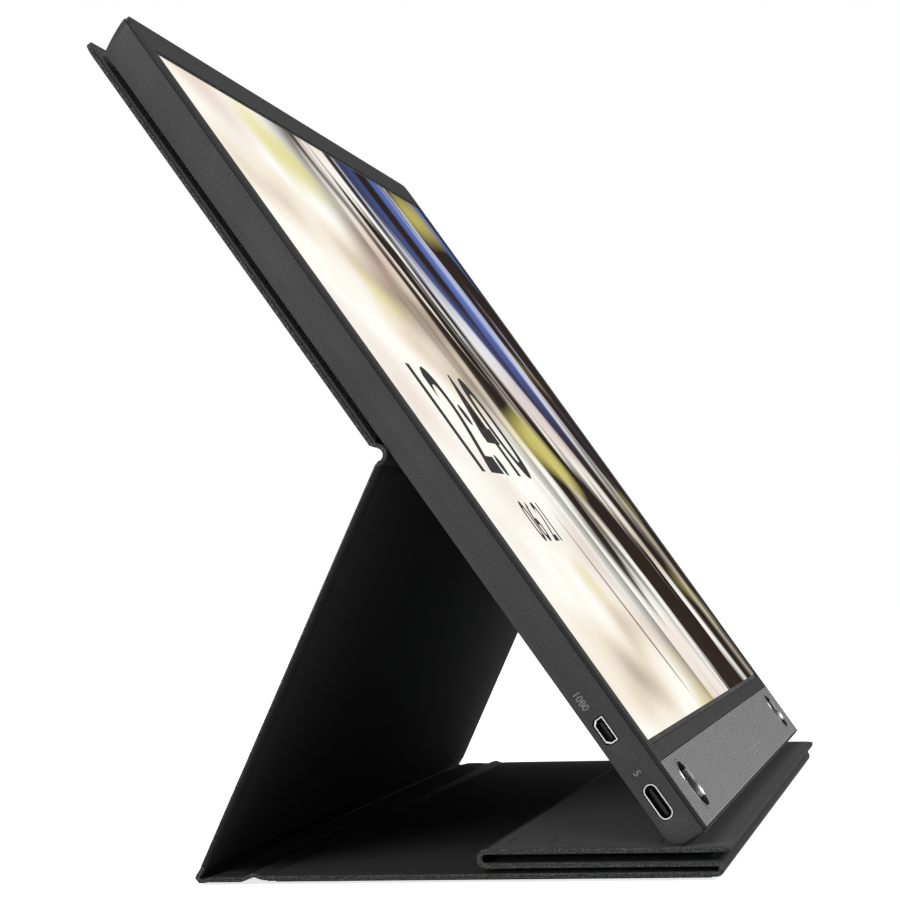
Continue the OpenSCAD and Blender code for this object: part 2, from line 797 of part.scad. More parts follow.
on_monitor() rear_case();
on_monitor() front_frame();
on_monitor() chin_strip();
on_monitor() speaker_rings();
on_monitor() speaker_meshes();
on_monitor() speaker(-1);  // speaker_left
on_monitor() speaker(1);  // speaker_right
on_monitor() lcd_glass();
on_monitor() lcd_picture();
on_monitor() diffuser_films();
on_monitor() light_guide();
on_monitor() led_bar();
on_monitor() reflector_sheet();
on_monitor() lcd_back_pan();
on_monitor() main_board();
on_monitor() board_chips();
on_monitor() panel_board();
on_monitor() display_ribbon();
on_monitor() battery(-1);  // battery_left
on_monitor() battery(1);  // battery_right
on_monitor() usb_shell();
on_monitor() usb_tongue();
on_monitor() video_shell();
on_monitor() video_tongue();
on_monitor() audio_jack();
on_monitor() button_board();
on_monitor() status_lens();
on_monitor() case_magnets();
on_monitor() case_screws();
on_monitor() button(0);  // power_button
on_monitor() button(1);  // menu_button
on_monitor() button(2);  // select_button
on_upper() panel_skin(upper_len, cover_corner_r, crease_edge, edge_w);  // upper_skin
upper_board();
on_upper() panel_lining(upper_len, cover_corner_r, crease_edge, edge_w);  // upper_lining
cover_magnets();
on_strut() panel_skin(strut_len, 0, crease_edge, crease_edge);  // strut_skin
on_strut() panel_stiffener(strut_len, 0, crease_edge, crease_edge);  // strut_board
on_strut() panel_lining(strut_len, 0, crease_edge, crease_edge);  // strut_lining
on_spine() panel_skin(spine_len, 0, spine_edge, spine_edge);  // spine_skin
on_spine() panel_stiffener(spine_len, 0, spine_edge, spine_edge);  // spine_board
on_spine() panel_lining(spine_len, 0, spine_edge, spine_edge);  // spine_lining
on_base() panel_skin(base_len, 0, crease_edge, crease_edge);  // base_skin
on_base() panel_stiffener(base_len, 0, crease_edge, crease_edge);  // base_board
on_base() panel_lining(base_len, 0, crease_edge, crease_edge);  // base_lining
on_middle() panel_skin(middle_len, 0, crease_edge, crease_edge);  // middle_skin
on_middle() panel_stiffener(middle_len, 0, crease_edge, crease_edge);  // middle_board
on_middle() panel_lining(middle_len, 0, crease_edge, crease_edge);  // middle_lining
on_top() panel_skin(top_len, cover_corner_r, crease_edge, edge_w);  // top_skin
on_top() panel_stiffener(top_len, cover_corner_r, crease_edge, edge_w);  // top_board
on_top() panel_lining(top_len, cover_corner_r, crease_edge, edge_w);  // top_lining
back_crease();
strut_crease();
spine_crease();
front_crease();
rear_crease();
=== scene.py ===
import math

import bpy
from mathutils import Matrix, Vector


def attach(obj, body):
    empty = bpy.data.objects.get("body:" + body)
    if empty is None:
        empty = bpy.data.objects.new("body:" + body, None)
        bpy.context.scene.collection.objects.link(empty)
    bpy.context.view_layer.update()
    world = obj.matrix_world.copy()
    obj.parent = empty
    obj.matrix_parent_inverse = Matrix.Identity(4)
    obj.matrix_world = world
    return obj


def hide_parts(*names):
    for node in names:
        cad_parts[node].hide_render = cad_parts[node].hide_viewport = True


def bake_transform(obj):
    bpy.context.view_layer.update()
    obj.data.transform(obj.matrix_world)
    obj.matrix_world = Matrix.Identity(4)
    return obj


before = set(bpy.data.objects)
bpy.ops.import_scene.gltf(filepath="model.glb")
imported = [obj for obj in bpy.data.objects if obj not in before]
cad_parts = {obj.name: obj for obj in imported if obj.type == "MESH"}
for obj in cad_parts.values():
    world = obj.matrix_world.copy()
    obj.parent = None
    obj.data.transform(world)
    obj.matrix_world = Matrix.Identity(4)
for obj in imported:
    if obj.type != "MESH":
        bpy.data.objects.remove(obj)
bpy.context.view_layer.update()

# Camera. A long lens close to table height, level with the left side of the monitor.
# The screen runs away from it almost edge-on.
camera_data = bpy.data.cameras.new("camera")
camera_data.lens = 125.52
camera_data.sensor_width = 36
camera_data.sensor_fit = "HORIZONTAL"
camera_data.clip_start = 0.05
camera_data.clip_end = 30
camera = bpy.data.objects.new("camera", camera_data)
bpy.context.scene.collection.objects.link(camera)
camera_place = (-0.87455, -0.12666, 0.07366)
yaw, pitch, roll = math.radians(9.433), math.radians(1.855), math.radians(-1.531)
ahead = Vector((math.cos(yaw) * math.cos(pitch), math.sin(yaw) * math.cos(pitch), math.sin(pitch)))
level = ahead.cross(Vector((0, 0, 1))).normalized()
upright = level.cross(ahead)
right = level * math.cos(roll) + upright * math.sin(roll)
up = upright * math.cos(roll) - level * math.sin(roll)
camera.matrix_world = Matrix.Translation(camera_place) @ Matrix(
    ((right.x, up.x, -ahead.x, 0),
     (right.y, up.y, -ahead.y, 0),
     (right.z, up.z, -ahead.z, 0),
     (0, 0, 0, 1)))
bpy.context.scene.camera = camera

# Studio. A white table and a white surround, with four large soft lamps round the monitor.
# The table keeps a faint shadow under the cover.
bpy.context.scene.view_settings.view_transform = "Standard"


def linear(colour):
    """An sRGB hex colour as the linear red, green, blue and alpha that a shader takes."""
    parts = [int(colour[i:i + 2], 16) / 255 for i in (1, 3, 5)]
    return [p / 12.92 if p <= 0.04045 else ((p + 0.055) / 1.055) ** 2.4 for p in parts] + [1]


def add(tree, kind, settings=None, links=None):
    """Adds a node, sets its properties and sockets, and links outputs of other nodes to its sockets."""
    made = tree.nodes.new("ShaderNode" + kind)
    for key, value in (settings or {}).items():
        if isinstance(key, str) and hasattr(made, key):
            setattr(made, key, value)
        else:
            made.inputs[key].default_value = value
    for key, output in (links or {}).items():
        tree.links.new(output, made.inputs[key])
    return made


def blank_material(name):
    """A new material and its node tree, empty."""
    made = bpy.data.materials.new(name)
    made.use_nodes = True
    made.node_tree.nodes.clear()
    return made, made.node_tree


world = bpy.data.worlds.new("studio")
bpy.context.scene.world = world
world.use_nodes = True
tree = world.node_tree
tree.nodes.clear()
path = add(tree, "LightPath")
seen = add(tree, "Math", {"operation": "MAXIMUM"},
           {0: path.outputs["Is Camera Ray"], 1: path.outputs["Is Transmission Ray"]})
room = add(tree, "Background", {"Color": linear("#f4f4f4"), "Strength": 0.22})
white = add(tree, "Background", {"Color": (1, 1, 1, 1), "Strength": 1.0})
pick = add(tree, "MixShader", {}, {0: seen.outputs[0], 1: room.outputs[0], 2: white.outputs[0]})
add(tree, "OutputWorld", {}, {"Surface": pick.outputs[0]})

bpy.ops.object.select_all(action="DESELECT")
bpy.ops.mesh.primitive_plane_add(size=6, location=(0, 0, -0.0002))
table = bpy.context.object
table.name = "table"
paper, tree = blank_material("white_paper_sweep")
path = add(tree, "LightPath")
matte = add(tree, "BsdfDiffuse", {"Color": linear("#e6e7e9")})
glow = add(tree, "Emission", {"Color": (1, 1, 1, 1), "Strength": 0.78})
both = add(tree, "AddShader", {}, {0: matte.outputs[0], 1: glow.outputs[0]})
pick = add(tree, "MixShader", {},
           {0: path.outputs["Is Camera Ray"], 1: matte.outputs[0], 2: both.outputs[0]})
add(tree, "OutputMaterial", {}, {"Surface": pick.outputs[0]})
table.data.materials.append(paper)

for name, place, aim, width, height, power in (
    ("key", (-1.35, 0.25, 1.7), (0, 0.0, 0.08), 1.0, 0.8, 19),
    ("side", (-1.9, 0.75, 0.6), (-0.1, 0.02, 0.08), 1.0, 0.8, 8.5),
    ("front", (0.3, -1.9, 1.2), (0, 0, 0.08), 1.4, 0.8, 21),
    ("back", (0.9, 1.8, 1.3), (0, 0, 0.08), 1.2, 0.9, 10),
):
    lamp_data = bpy.data.lights.new(name, "AREA")
    lamp_data.shape = "RECTANGLE"
    lamp_data.size = width
    lamp_data.size_y = height
    lamp_data.energy = power
    lamp = bpy.data.objects.new(name, lamp_data)
    bpy.context.scene.collection.objects.link(lamp)
    lamp.location = place
    lamp.rotation_euler = (Vector(aim) - Vector(place)).to_track_quat("-Z", "Y").to_euler()

# Cover panels. Each is a stiff board between an outer skin of grained synthetic leather and a
# suede lining, pressed together in a thin rim round the board and cut flush.
mm = 0.001
body_w = 359.7
cover_over = 1.8
half_w = body_w / 2 + cover_over
panel_t = 2.0
rim = 4.2
crease_rim = 1.2
slope, end_slope = 0.7, 0.6
rims_in = 0.8
soft_edge = 0.14
free_corner = 5.0
fold_gap = 0.7
fold_back = 0.3
crease_back = 3.0
base_l, spine_l, strut_l, middle_l, top_l, upper_l = 104.3, 13.2, 105.5, 51.3, 54.4, 117.7
mid_y = 68.4697
tilt, lean = math.radians(55.7), math.radians(115.3635)
monitor_foot = (9.1297, 5.6667)
back_axis = (72.308, 96.3307)
upper_drop = 1.7
strut_axis = (base_l + spine_l, panel_t / 2)
middle_z = panel_t + fold_gap
top_z = 2 * middle_z


def spread(tree, value, low, high, least=0.0, most=1.0, kind="LINEAR"):
    """Maps a value that runs from low to high onto least to most."""
    made = add(tree, "MapRange", {"interpolation_type": kind, "From Min": low, "From Max": high,
                                  "To Min": least, "To Max": most}, {"Value": value})
    return made.outputs[0]


def mixed(tree, share, first, second, kind="MIX"):
    """Mixes two colours. The share and the colours are values, or outputs of other nodes."""
    made = add(tree, "Mix", {"data_type": "RGBA", "blend_type": kind})
    for socket, value in ((0, share), (6, first), (7, second)):
        if isinstance(value, bpy.types.NodeSocket):
            tree.links.new(value, made.inputs[socket])
        else:
            made.inputs[socket].default_value = value
    return made.outputs[2]


def ramped(tree, value, first, last, between=None):
    """Colours a value by a ramp. Each stop is a position and a hex colour."""
    made = add(tree, "ValToRGB", {}, {"Fac": value})
    stops = made.color_ramp.elements
    for stop, (at, colour) in ((stops[0], first), (stops[1], last)):
        stop.position, stop.color = at, linear(colour)
    if between:
        stops.new(between[0]).color = linear(between[1])
    return made.outputs[0]


def specks(tree, place, size, detail, rough):
    """Fine noise whose specks have about the given size in millimetres."""
    made = add(tree, "TexNoise", {"Scale": 1 / (size * mm), "Detail": detail, "Roughness": rough},
               {"Vector": place.outputs["Object"]})
    return made.outputs["Fac"]


def skin_material(name, base, light, grain, sheen, rough, low=0.25, high=0.75):
    """Grained or napped sheet: pebbles of the given size in millimetres over a slow unevenness."""
    made, tree = blank_material(name)
    place = add(tree, "TexCoord")
    pebble = add(tree, "TexVoronoi", {"feature": "SMOOTH_F1", "Scale": 1 / (grain * mm), "Smoothness": 0.6},
                 {"Vector": place.outputs["Object"]})
    fine = specks(tree, place, grain / 2.6, 3.0, 0.6)
    slow = add(tree, "TexNoise", {"Scale": 38.0, "Detail": 3.0, "Roughness": 0.55},
               {"Vector": place.outputs["Object"]})
    grit = add(tree, "Mix", {"data_type": "FLOAT", "Factor": 0.45},
               {2: pebble.outputs["Distance"], 3: fine})
    ramp = ramped(tree, grit.outputs[0], (low, base), (high, light))
    wear = mixed(tree, 0.5, ramp, slow.outputs["Color"], "MULTIPLY")
    tone = mixed(tree, 0.55, wear, ramp)
    lift = add(tree, "Bump", {"Strength": 0.55, "Distance": 0.00012}, {"Height": grit.outputs[0]})
    sag = add(tree, "Bump", {"Strength": 0.35, "Distance": 0.0006},
              {"Height": slow.outputs["Fac"], "Normal": lift.outputs[0]})
    shine = spread(tree, fine, 0.2, 0.8, rough - 0.1, rough + 0.1)
    surface = add(tree, "BsdfPrincipled",
                  {"Sheen Weight": sheen, "Sheen Roughness": 0.5, "Specular IOR Level": 0.35},
                  {"Base Color": tone, "Roughness": shine, "Normal": sag.outputs[0]})
    add(tree, "OutputMaterial", {}, {"Surface": surface.outputs[0]})
    return made


# Polyurethane-coated cloth, embossed with a fine pebble grain of about 0.5 mm: dull, nearly black.
leather = skin_material("embossed_synthetic_leather", "#161616", "#2e2e2e", 0.55, 0.05, 0.62)
# Microfibre suede, napped: darker, with a soft sheen at grazing angles.
suede = skin_material("napped_microfibre", "#070707", "#151515", 0.35, 0.2, 0.8)
# The same suede on the panels that lie in the stand's shadow, painted darker as shade, with less sheen.
shaded_suede = skin_material("shade_painted_microfibre", "#020202", "#080808", 0.35, 0.06, 0.85)
# The cut through the pressed layers: fibres show paler, with fine pits drawn at about 0.3 mm.
cut = skin_material("cut_edge_of_pressed_layers", "#0c0c0c", "#646464", 0.26, 0.0, 0.85, 0.42, 0.6)


def pressed_half(name, length, round_r, near, far, rim_in):
    """One layer of a panel, its raised field down: a rim all round and a field pushed out by the board."""
    bpy.ops.object.select_all(action="DESELECT")
    bpy.ops.mesh.primitive_cube_add(size=1, location=(0, length / 2 * mm, (rim_in + panel_t / 2) / 2 * mm))
    piece = bpy.context.object
    piece.name = name
    piece.scale = (2 * half_w * mm, length * mm, (panel_t / 2 - rim_in) * mm)
    bpy.ops.object.transform_apply(location=True, rotation=True, scale=True)
    piece.data.materials.append(leather)
    piece.data.materials.append(cut)
    if round_r:
        bpy.ops.object.mode_set(mode="EDIT")
        bpy.ops.mesh.select_mode(type="EDGE")
        bpy.ops.mesh.select_all(action="DESELECT")
        bpy.ops.object.mode_set(mode="OBJECT")
        for edge in piece.data.edges:
            a, b = (piece.data.vertices[i].co for i in edge.vertices)
            edge.select = abs(a.x - b.x) < 1e-6 and abs(a.y - b.y) < 1e-6 and a.y > length / 2 * mm
        bpy.ops.object.mode_set(mode="EDIT")
        bpy.ops.mesh.bevel(offset=round_r * mm, segments=8, profile=0.5)
        bpy.ops.object.mode_set(mode="OBJECT")
    bpy.ops.object.mode_set(mode="EDIT")
    bpy.ops.mesh.select_mode(type="FACE")
    bpy.ops.mesh.select_all(action="DESELECT")
    bpy.ops.object.mode_set(mode="OBJECT")
    for face in piece.data.polygons:
        face.select = face.normal.z < -0.9
        face.material_index = 0 if abs(face.normal.z) > 0.9 else 1
    for side, ends, depth in ((rim - slope, (near - end_slope, far - end_slope), 0),
                              (rim, (near, far), rim_in)):
        bpy.ops.object.mode_set(mode="EDIT")
        bpy.ops.mesh.inset(thickness=0.3 * mm, depth=0)
        bpy.ops.object.mode_set(mode="OBJECT")
        used = {i for face in piece.data.polygons if face.select for i in face.vertices}
        points = [piece.data.vertices[i] for i in used]
        wide = max(p.co.x for p in points)
        low, high = min(p.co.y for p in points), max(p.co.y for p in points)
        for p in points:
            p.co.x *= (half_w - side) * mm / wide
            p.co.y = ends[0] * mm + (p.co.y - low) / (high - low) * (length - ends[0] - ends[1]) * mm
            p.co.z -= depth * mm
    soften = piece.modifiers.new("soften", "BEVEL")
    soften.width = soft_edge * mm
    soften.segments = 2
    soften.limit_method = "ANGLE"
    soften.angle_limit = math.radians(18)
    bpy.ops.object.modifier_apply(modifier="soften")
    bpy.ops.object.shade_smooth_by_angle(angle=math.radians(35))
    return piece


def lay(piece, matrix, body, node):
    """Puts a finished piece where its panel lies and hands it to the frame."""
    piece.matrix_world = matrix
    bpy.ops.object.select_all(action="DESELECT")
    bpy.context.view_layer.objects.active = piece
    piece.select_set(True)
    bpy.ops.object.transform_apply(location=True, rotation=True, scale=True)
    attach(piece, body)
    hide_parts(node)
    return piece


def spot(y, z, angle=0.0):
    """A place along the table and above it, in millimetres, turned about the width."""
    return Matrix.Translation((0, (y - mid_y) * mm, z * mm)) @ Matrix.Rotation(angle, 4, "X")


def shift(y, z):
    """A move along a panel and across its thickness, in millimetres."""
    return Matrix.Translation((0, y * mm, z * mm))


over = Matrix.Translation((0, 0, panel_t * mm)) @ Matrix.Rotation(math.pi, 4, "Y")
panels = (
    ("base", base_l - crease_back - fold_back, 0, crease_rim, crease_rim,
     spot(fold_back, 0), "base", 0.6),
    ("spine", spine_l - 2 * crease_back, 0, crease_rim, crease_rim,
     spot(base_l + crease_back, 0), "spine", 0.4),
    ("strut", strut_l - 2 * crease_back, 0, crease_rim, crease_rim,
     spot(*strut_axis, lean) @ shift(crease_back, -panel_t / 2), "strut", 0.5),
    ("upper", upper_l - crease_back, free_corner, crease_rim, rim,
     spot(*back_axis, tilt) @ shift(crease_back, -upper_drop), "monitor", 0.1),
    ("middle", middle_l - 2 * fold_back, 0, crease_rim, crease_rim,
     spot(fold_back, middle_z) @ over, "middle", 0.6),
    ("top", top_l - fold_back, free_corner, crease_rim, rim,
     spot(middle_l - fold_back, top_z) @ Matrix.Rotation(math.pi, 4, "Z"), "top", 0.6),
)
for name, length, round_r, near, far, matrix, body, skin_in in panels:
    skin = pressed_half("cover_" + name + "_skin", length, round_r, near, far, skin_in)
    lay(skin, matrix, body, name + "_skin")
    lining = pressed_half("cover_" + name + "_lining", length, round_r, near, far,
                          rims_in - skin_in)
    # Base, spine and strut linings take the darker suede: painted shade.
    lining.data.materials[0] = shaded_suede if name in ("base", "spine", "strut") else suede
    # On the upper panel and the strut the lining's half of the cut edge takes the dark suede: painted shade
    # on the side that faces in.
    if name in ("upper", "strut"):
        lining.data.materials[1] = suede
    lay(lining, matrix @ over, body, name + "_lining")

# Creases of the cover. Where no board lies, skin and lining are pressed into one limp strip that
# bends: flat behind the base, in a sharp turn under the strut, in an S behind the screen, in two U folds.
crease_t = 1.2
same_place = 1e-7


def on_monitor(v, w):
    """A point so far up the monitor's back and so far out from it, along and above the table."""
    return (monitor_foot[0] + v * math.cos(tilt) - w * math.sin(tilt),
            monitor_foot[1] + v * math.sin(tilt) + w * math.cos(tilt))


def on_strut(s, h):
    """A point so far up the strut and so far in from its middle, along and above the table."""
    return (strut_axis[0] + s * math.cos(lean) - h * math.sin(lean),
            strut_axis[1] + s * math.sin(lean) + h * math.cos(lean))


def round_fold(y, z, r, side):
    """The middle line of a U fold about an axis, open to the side away from its turn."""
    turns = [math.radians(a) for a in range(-90, 91, 12)]
    arc = [(y + side * r * math.cos(a), z + r * math.sin(a)) for a in turns]
    return [(y - side * 0.5, z - r)] + arc + [(y - side * 0.5, z + r)]


def bent_strip(name, points, thickness, node):
    """A strip across the cover's width: an edge pulled along the fold's middle line, then thickened."""
    bpy.ops.object.select_all(action="DESELECT")
    bpy.ops.mesh.primitive_plane_add(size=1, location=(0, 0, 0))
    piece = bpy.context.object
    piece.name = name
    first, second = points[0], points[1]
    for p in piece.data.vertices:
        y, z = first if p.co.y < 0 else second
        p.co = (math.copysign(half_w * mm, p.co.x), (y - mid_y) * mm, z * mm)
    for before, after in zip(points[1:], points[2:]):
        bpy.ops.object.mode_set(mode="EDIT")
        bpy.ops.mesh.select_mode(type="EDGE")
        bpy.ops.mesh.select_all(action="DESELECT")
        bpy.ops.object.mode_set(mode="OBJECT")
        for edge in piece.data.edges:
            ends = [piece.data.vertices[i].co for i in edge.vertices]
            edge.select = all(abs(p.y - (before[0] - mid_y) * mm) < same_place
                              and abs(p.z - before[1] * mm) < same_place for p in ends)
        bpy.ops.object.mode_set(mode="EDIT")
        step = (0, (after[0] - before[0]) * mm, (after[1] - before[1]) * mm)
        bpy.ops.mesh.extrude_region_move(TRANSFORM_OT_translate={"value": step})
        bpy.ops.object.mode_set(mode="OBJECT")
    bpy.ops.object.mode_set(mode="EDIT")
    bpy.ops.mesh.select_all(action="SELECT")
    bpy.ops.mesh.normals_make_consistent(inside=False)
    bpy.ops.object.mode_set(mode="OBJECT")
    wall = piece.modifiers.new("wall", "SOLIDIFY")
    wall.thickness = thickness * mm
    wall.offset = 0
    bpy.ops.object.modifier_apply(modifier="wall")
    soften = piece.modifiers.new("soften", "BEVEL")
    soften.width = soft_edge * mm
    soften.segments = 2
    soften.limit_method = "ANGLE"
    soften.angle_limit = math.radians(50)
    bpy.ops.object.modifier_apply(modifier="soften")
    bpy.ops.object.mode_set(mode="EDIT")
    bpy.ops.mesh.select_all(action="SELECT")
    bpy.ops.mesh.normals_make_consistent(inside=False)
    bpy.ops.object.mode_set(mode="OBJECT")
    bpy.ops.object.shade_smooth_by_angle(angle=math.radians(40))
    piece.data.materials.append(leather)
    piece.data.materials.append(cut)
    for face in piece.data.polygons:
        face.material_index = 1 if abs(face.normal.x) > 0.7 else 0
    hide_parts(node)
    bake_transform(piece)
    return piece


bent_strip("crease_base_to_spine",
           [(base_l - 3.1, 1.2), (base_l - 2.2, 1.25), (base_l - 1.2, 1.5), (base_l, 1.95),
            (base_l + 1.2, 1.6), (base_l + 2.3, 1.15), (base_l + 3.1, 1.0)],
           0.95, "spine_crease")
bent_strip("crease_spine_to_strut",
           [(strut_axis[0] - 3.1, 1.0), (strut_axis[0] - 2.2, 0.86), (strut_axis[0] - 1.3, 0.72),
            (strut_axis[0] - 0.6, 0.72), on_strut(0.35, -0.2), on_strut(0.95, -0.2),
            on_strut(2.0, 0.0), on_strut(3.1, 0.1)],
           1.0, "strut_crease")
bent_strip("crease_strut_to_upper",
           [on_strut(strut_l - 3.2, 0.1), on_strut(strut_l - 2.5, 0.2), on_monitor(108.95, -2.35),
            on_monitor(109.3, -1.5), on_monitor(109.9, -0.9), on_monitor(110.8, -0.6),
            on_monitor(111.7, -0.75), on_monitor(112.5, -1.25), on_monitor(113.2, -1.85),
            on_monitor(113.7, -2.1)],
           1.0, "back_crease")
front_axis = (0, panel_t + fold_gap / 2)
rear_axis = (middle_l, middle_z + panel_t + fold_gap / 2)
front_r, rear_r = 1.15, 1.55
bent_strip("crease_base_to_middle", round_fold(*front_axis, front_r, -1), crease_t,
           "front_crease")
bent_strip("crease_middle_to_top", round_fold(*rear_axis, rear_r, 1), crease_t,
           "rear_crease")

# Boards and magnets shut inside the cover's panels: grey pressed fibre board and nickel-plated discs.
# They can't be seen, and keep the shapes that they have in the frame.
fibre = skin_material("grey_fibre_board", "#7c7060", "#9b8d78", 0.8, 0.0, 0.9)


def plated(name, colour, rough, scratch):
    """Bright metal with fine drawn or tumbled marks, their spacing in millimetres."""
    made, tree = blank_material(name)
    marks = specks(tree, add(tree, "TexCoord"), scratch, 4.0, 0.65)
    shine = spread(tree, marks, 0.3, 0.7, rough - 0.05, rough + 0.12)
    lift = add(tree, "Bump", {"Strength": 0.15, "Distance": 0.00003}, {"Height": marks})
    surface = add(tree, "BsdfPrincipled", {"Base Color": linear(colour), "Metallic": 1.0},
                  {"Roughness": shine, "Normal": lift.outputs[0]})
    add(tree, "OutputMaterial", {}, {"Surface": surface.outputs[0]})
    return made


# Nickel plate: bright, slightly warm, with tumbling marks.
nickel = plated("nickel_plate", "#c8c6c2", 0.24, 0.6)


def dress(node, material):
    """Gives a node of the frame its finish."""
    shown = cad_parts[node]
    shown.data.materials.clear()
    shown.data.materials.append(material)
    for face in shown.data.polygons:
        face.material_index = 0


for name in ("base", "spine", "strut", "upper", "middle", "top"):
    dress(name + "_board", fibre)
dress("cover_magnets", nickel)
dress("case_magnets", nickel)

# Slits. Short closed cuts in the top panel's and the base's lining, where the cover's pockets
# were turned: thin, and painted black as the shade inside them.
slit_black = skin_material("slit_shadow", "#020202", "#060606", 0.3, 0.0, 0.9)
slit_l, slit_w, slit_t = 12, 0.28, 0.04
stack_z = top_z + panel_t
slits = ((14, 48, stack_z, "top"), (13, 38.5, stack_z, "top"), (8, 13, stack_z, "top"),
         (185, 46, stack_z, "top"), (113, 52, stack_z, "top"),
         (150, 78, panel_t, "base"), (190, 92, panel_t, "base"))
for i, (x, y, z, body) in enumerate(slits):
    bpy.ops.object.select_all(action="DESELECT")
    place = ((x + slit_l / 2 - half_w) * mm, (y - mid_y) * mm, z * mm)
    bpy.ops.mesh.primitive_cube_add(size=1, location=place)
    slit = bpy.context.object
    slit.name = "lining_slit_" + str(i + 1)
    slit.scale = (slit_l * mm, slit_w * mm, slit_t * mm)
    bpy.ops.object.transform_apply(location=True, rotation=True, scale=True)
    slit.data.materials.append(slit_black)
    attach(slit, body)

# Back case of the monitor. Moulded black ABS and glass fibre with a fine spark-eroded texture,
# rounded along its lower edge, with a parting line where the front frame drops in.


def moulded(name, base, fleck, grain, rough, strength):
    """Moulded plastic with an eroded texture: grain size in millimetres, pale flecks on the peaks."""
    made, tree = blank_material(name)
    place = add(tree, "TexCoord")
    pits = specks(tree, place, grain, 3.0, 0.6)
    cloud = add(tree, "TexNoise", {"Scale": 55.0, "Detail": 2.0}, {"Vector": place.outputs["Object"]})
    ramp = ramped(tree, pits, (0.42, base), (0.72, fleck))
    shine = spread(tree, cloud.outputs["Fac"], 0.3, 0.7, rough - 0.06, rough + 0.08)
    lift = add(tree, "Bump", {"Strength": strength, "Distance": 0.00006}, {"Height": pits})
    surface = add(tree, "BsdfPrincipled", {"IOR": 1.53},
                  {"Base Color": ramp, "Roughness": shine, "Normal": lift.outputs[0]})
    add(tree, "OutputMaterial", {}, {"Surface": surface.outputs[0]})
    return made


case_plastic = moulded("eroded_black_abs", "#282828", "#454545", 0.34, 0.6, 0.6)


def softened(name, node, body, material, width, angle=30):
    """A moulded piece from its solid, with every sharp edge eased as a mould leaves it."""
    bpy.ops.object.select_all(action="DESELECT")
    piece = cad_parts[node].copy()
    piece.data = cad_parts[node].data.copy()
    piece.name = name
    piece.parent = None
    piece.hide_render = piece.hide_viewport = False
    bpy.context.scene.collection.objects.link(piece)
    bpy.context.view_layer.objects.active = piece
    piece.select_set(True)
    piece.data.materials.clear()
    piece.data.materials.append(material)
    bpy.ops.object.mode_set(mode="EDIT")
    bpy.ops.mesh.select_all(action="SELECT")
    bpy.ops.mesh.remove_doubles(threshold=0.000002)
    bpy.ops.mesh.dissolve_limited(angle_limit=math.radians(0.5))
    bpy.ops.object.mode_set(mode="OBJECT")
    for face in piece.data.polygons:
        face.material_index = 0
    ease = piece.modifiers.new("ease", "BEVEL")
    ease.width = width * mm
    ease.segments = 2
    ease.limit_method = "ANGLE"
    ease.angle_limit = math.radians(angle)
    ease.use_clamp_overlap = True
    bpy.ops.object.modifier_apply(modifier="ease")
    bpy.ops.object.shade_smooth_by_angle(angle=math.radians(30))
    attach(piece, body)
    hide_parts(node)
    return piece


softened("monitor_back_case", "rear_case", "monitor", case_plastic, 0.18)

# Front frame. The same plastic, a shade darker, moulded as one rim with a wider band below the
# screen. Its side walls face the case across a narrow gap and stay nearly black.
frame_plastic = moulded("eroded_charcoal_abs", "#1e1e1e", "#303030", 0.32, 0.58, 0.4)
rim_piece = softened("monitor_front_frame", "front_frame", "monitor", frame_plastic, 0.12)
shadow_plastic = moulded("shadow_gap_abs", "#0c0c0c", "#161616", 0.34, 0.62, 0.4)
rim_piece.data.materials.append(shadow_plastic)
for face in rim_piece.data.polygons:
    if abs(face.normal.x) > 0.8:
        face.material_index = 1

# Ribbed strip below the screen. Painted plastic in a metallic grey, moulded with fine ribs half a
# millimetre apart and pressed into the frame. The flanks that look down take a darker copy of the
# paint: painted shade.


def painted(name, colour):
    """Metallic paint: fine flakes of about a quarter millimetre in a plain coat."""
    made, tree = blank_material(name)
    place = add(tree, "TexCoord")
    flake = add(tree, "TexVoronoi", {"Scale": 4200.0}, {"Vector": place.outputs["Object"]})
    grey = add(tree, "RGBToBW", {}, {"Color": flake.outputs["Color"]})
    tint = mixed(tree, 0.06, linear(colour), grey.outputs[0])
    lift = add(tree, "Bump", {"Strength": 0.1, "Distance": 0.00002}, {"Height": flake.outputs["Distance"]})
    surface = add(tree, "BsdfPrincipled", {"Metallic": 0.3, "Roughness": 0.45},
                  {"Base Color": tint, "Normal": lift.outputs[0]})
    add(tree, "OutputMaterial", {}, {"Surface": surface.outputs[0]})
    return made


dress("chin_strip", painted("metallic_grey_paint", "#b2b2b2"))
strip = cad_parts["chin_strip"]
strip.data.materials.append(painted("rib_flank_painted_shade", "#3c3c3c"))
turned = strip.matrix_world.to_3x3()
up_screen = Vector((0, math.cos(tilt), math.sin(tilt)))
for face in strip.data.polygons:
    if (turned @ face.normal).normalized().dot(up_screen) < -0.2:
        face.material_index = 1

# Speakers behind two openings in the strip. Each has a bright diamond-cut rim and a black
# pierced mesh in front of the speaker's box.
chrome = plated("diamond_cut_aluminium", "#dcdcdc", 0.26, 0.8)
black_plastic = moulded("smooth_black_abs", "#050505", "#0b0b0b", 0.5, 0.55, 0.1)
rims = softened("speaker_rims", "speaker_rings", "monitor", chrome, 0.08)
# The rims' inner walls, all but those that face left, take black plastic: painted shade in the openings.
rims.data.materials.append(black_plastic)
for face in rims.data.polygons:
    outward = face.normal.y * -math.sin(tilt) + face.normal.z * math.cos(tilt)
    if outward < 0.3 and face.normal.x > -0.75:
        face.material_index = 1
for name in ("speaker_meshes", "speaker_left", "speaker_right"):
    dress(name, black_plastic)

# Screen. A satin glass over the black border; the picture shows through as light from behind.
# It is a plain pattern: a pale veil at the left, slanting dark streaks, a little blue and yellow.
screen_glass = moulded("satin_black_glass", "#060607", "#0a0a0b", 0.6, 0.22, 0.03)
dress("lcd_glass", screen_glass)
picture_w, picture_h, picture_v = 344.2, 193.6, 23.9
picture_out, numerals_out = 8.78, 8.8
lit, tree = blank_material("lit_picture")


